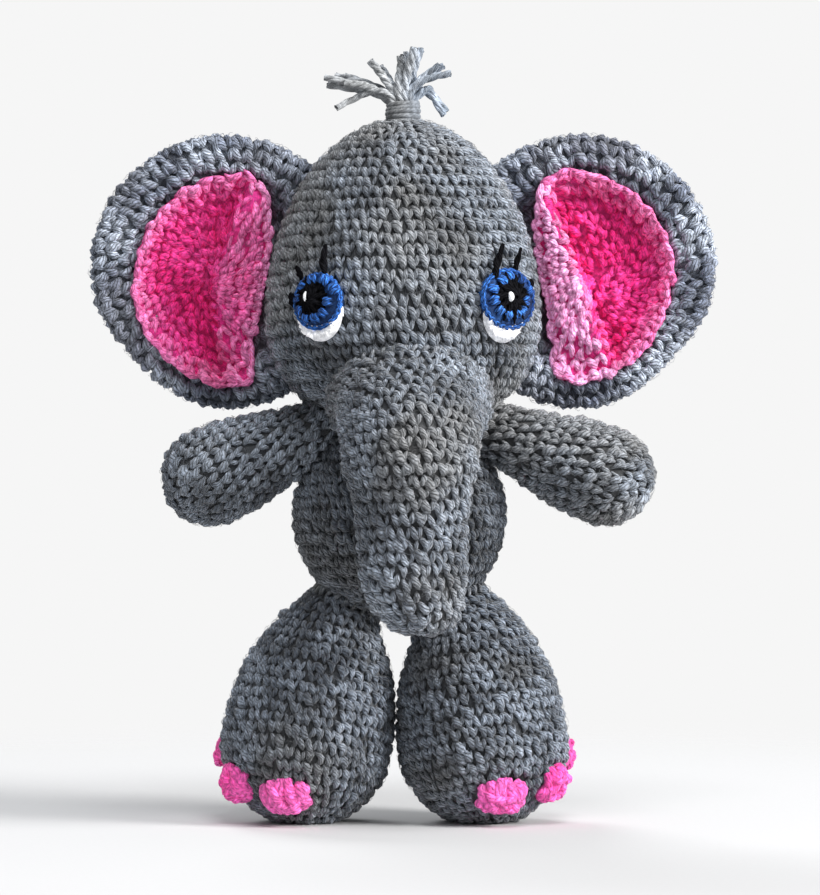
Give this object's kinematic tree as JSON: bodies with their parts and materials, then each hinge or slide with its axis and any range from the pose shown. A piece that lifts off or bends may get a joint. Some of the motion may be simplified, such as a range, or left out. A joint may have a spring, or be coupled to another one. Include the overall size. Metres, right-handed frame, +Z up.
{
  "type": "stuffed elephant",
  "caption": "Standing crocheted elephant with a hanging trunk, big lined ears, sewn-on arms and legs, toenails and a tuft of yarn hair.",
  "frame": {"origin": "centre of the bounding box's underside, on the floor between the feet and a little in front of them", "axes": "+Z up, the elephant faces -Y, its own left is +X"},
  "size_m": [0.253, 0.1514, 0.3147],
  "materials": {
    "grey_yarn": "matte",
    "dark_grey_yarn": "matte",
    "pink_lining_yarn": "matte",
    "pink_nail_yarn": "matte",
    "blue_yarn": "matte",
    "black_yarn": "matte",
    "white_yarn": "matte",
    "hair_yarn": "matte",
    "sewing_yarn": "matte",
    "stuffing": "matte"
  },
  "bodies": {
    "torso": {"body_skin": "grey_yarn", "body_stuffing": "stuffing", "shoulder_left_stitching": "sewing_yarn", "shoulder_right_stitching": "sewing_yarn", "hip_left_stitching": "sewing_yarn", "hip_right_stitching": "sewing_yarn"},
    "neck": {"neck_stitching": "sewing_yarn"},
    "head": {"head_skin": "grey_yarn", "head_stuffing": "stuffing", "trunk_stitching": "sewing_yarn", "ear_left_stitching": "sewing_yarn", "ear_right_stitching": "sewing_yarn", "hair_wrap": "hair_yarn", "hair_strands": "hair_yarn", "eye_left_white": "white_yarn", "eye_left_iris": "blue_yarn", "eye_left_pupil": "black_yarn", "eye_left_glint": "white_yarn", "eye_left_lashes": "black_yarn", "eye_right_white": "white_yarn", "eye_right_iris": "blue_yarn", "eye_right_pupil": "black_yarn", "eye_right_glint": "white_yarn", "eye_right_lashes": "black_yarn"},
    "trunk_upper": {"trunk_upper_skin": "grey_yarn", "trunk_upper_stuffing": "stuffing"},
    "trunk_tip": {"trunk_tip_skin": "grey_yarn", "trunk_tip_stuffing": "stuffing"},
    "ear_left": {"ear_left_back": "grey_yarn", "ear_left_lining": "pink_lining_yarn"},
    "arm_left": {"arm_left_skin": "grey_yarn", "arm_left_stuffing": "stuffing"},
    "leg_left": {"leg_left_skin": "dark_grey_yarn", "leg_left_stuffing": "stuffing", "toenail_left_front": "pink_nail_yarn", "toenail_left_middle": "pink_nail_yarn", "toenail_left_side": "pink_nail_yarn"},
    "ear_right": {"ear_right_back": "grey_yarn", "ear_right_lining": "pink_lining_yarn"},
    "arm_right": {"arm_right_skin": "grey_yarn", "arm_right_stuffing": "stuffing"},
    "leg_right": {"leg_right_skin": "dark_grey_yarn", "leg_right_stuffing": "stuffing", "toenail_right_front": "pink_nail_yarn", "toenail_right_middle": "pink_nail_yarn", "toenail_right_side": "pink_nail_yarn"}
  },
  "joints": [
    {"name": "neck_turn", "type": "hinge", "parent": "torso", "child": "neck", "pos_m": [0, 0.01975, 0.1595], "axis": [0, 0, 1], "range_deg": [-18, 18], "stiffness_Nm_per_rad": 0.3},
    {"name": "head_nod", "type": "hinge", "parent": "neck", "child": "head", "pos_m": [0, 0.01975, 0.1595], "axis": [1, 0, 0], "range_deg": [-12, 0], "stiffness_Nm_per_rad": 0.8},
    {"name": "trunk_lift", "type": "hinge", "parent": "head", "child": "trunk_upper", "pos_m": [0.0025, -0.04725, 0.163], "axis": [-1, 0, 0], "range_deg": [0, 50], "stiffness_Nm_per_rad": 0.1},
    {"name": "trunk_curl", "type": "hinge", "parent": "trunk_upper", "child": "trunk_tip", "pos_m": [0.0025, -0.04725, 0.124], "axis": [-1, 0, 0], "range_deg": [0, 35], "stiffness_Nm_per_rad": 0.05},
    {"name": "ear_left_flap", "type": "hinge", "parent": "head", "child": "ear_left", "pos_m": [0.06, 0.02725, 0.2215], "axis": [0, 0, -1], "range_deg": [-15, 25], "stiffness_Nm_per_rad": 0.05},
    {"name": "ear_right_flap", "type": "hinge", "parent": "head", "child": "ear_right", "pos_m": [-0.06, 0.02725, 0.2215], "axis": [0, 0, 1], "range_deg": [-15, 25], "stiffness_Nm_per_rad": 0.05},
    {"name": "arm_left_raise", "type": "hinge", "parent": "torso", "child": "arm_left", "pos_m": [0.03493, 0.01104, 0.1577], "axis": [0, -1, 0], "range_deg": [-10, 28], "stiffness_Nm_per_rad": 0.1},
    {"name": "arm_right_raise", "type": "hinge", "parent": "torso", "child": "arm_right", "pos_m": [-0.03493, 0.01104, 0.1577], "axis": [0, -1, 0], "range_deg": [-28, 10], "stiffness_Nm_per_rad": 0.1},
    {"name": "leg_left_swing", "type": "hinge", "parent": "torso", "child": "leg_left", "pos_m": [0.02018, 0.01975, 0.07126], "axis": [-1, 0, 0], "range_deg": [-25, 50], "stiffness_Nm_per_rad": 0.6},
    {"name": "leg_right_swing", "type": "hinge", "parent": "torso", "child": "leg_right", "pos_m": [-0.02928, 0.01975, 0.07575], "axis": [-1, 0, 0], "range_deg": [-25, 50], "stiffness_Nm_per_rad": 0.6}
  ]
}
